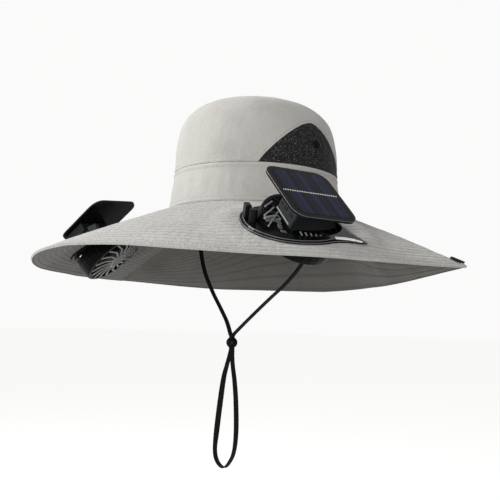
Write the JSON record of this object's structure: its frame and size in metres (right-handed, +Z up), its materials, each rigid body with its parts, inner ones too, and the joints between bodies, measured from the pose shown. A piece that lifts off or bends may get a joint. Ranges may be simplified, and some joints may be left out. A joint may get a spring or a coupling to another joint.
{
  "type": "solar fan hat",
  "caption": "Wide-brim cloth sun hat with a fan unit and a tilted solar panel on each side of the brim, mesh vents and a chin strap.",
  "frame": {"origin": "centre of the head opening, at the height of the seam between crown band and brim", "axes": "+Z up along the crown, -Y towards the wearer's front, +X towards the wearer's left"},
  "size_m": [0.5038, 0.3618, 0.3962],
  "materials": {
    "cloth": "matt woven cloth",
    "net": "fine black net",
    "strap": "flat woven tape",
    "black_plastic": "satin to gloss",
    "rotor_plastic": "satin",
    "solar_cell": "clear resin over a dark blue cell"
  },
  "bodies": {
    "root": {"crown": "cloth", "crown_band": "cloth", "brim": "cloth", "vent_mesh_left": "net", "vent_mesh_right": "net", "brim_tab_left": "strap", "snap_button_left": "black_plastic", "snap_button_right": "black_plastic", "strap_anchor_left": "strap", "strap_anchor_right": "strap", "chin_strap": "strap", "strap_slider": "black_plastic", "fan_flange_left": "black_plastic", "fan_flange_right": "black_plastic", "switch_block_left": "black_plastic", "switch_block_right": "black_plastic"},
    "head_left": {"fan_duct_left": "black_plastic", "fan_guard_left": "black_plastic", "fan_cage_left": "black_plastic", "battery_box_left": "black_plastic", "solar_tray_left": "black_plastic", "solar_cell_left": "solar_cell"},
    "head_right": {"fan_duct_right": "black_plastic", "fan_guard_right": "black_plastic", "fan_cage_right": "black_plastic", "battery_box_right": "black_plastic", "solar_tray_right": "black_plastic", "solar_cell_right": "solar_cell"},
    "rotor_left": {"fan_rotor_left": "rotor_plastic"},
    "rotor_right": {"fan_rotor_right": "rotor_plastic"}
  },
  "joints": [
    {"name": "head_tilt_left", "type": "hinge", "parent": "root", "child": "head_left", "pos_m": [0.13858, -0.08964, -0.03555], "axis": [0.0507, 0.9728, 0.2261], "range_deg": [-24, 7]},
    {"name": "head_tilt_right", "type": "hinge", "parent": "root", "child": "head_right", "pos_m": [-0.14027, -0.09109, -0.04264], "axis": [0.5446, -0.8387, 0], "range_deg": [-17, 9]},
    {"name": "fan_spin_left", "type": "hinge", "parent": "head_left", "child": "rotor_left", "pos_m": [0.13858, -0.08964, -0.03555], "axis": [0.7069, -0.1949, 0.6799], "continuous": true},
    {"name": "fan_spin_right", "type": "hinge", "parent": "head_right", "child": "rotor_right", "pos_m": [-0.14027, -0.09109, -0.04264], "axis": [-0.5627, -0.3654, 0.7415], "continuous": true}
  ]
}
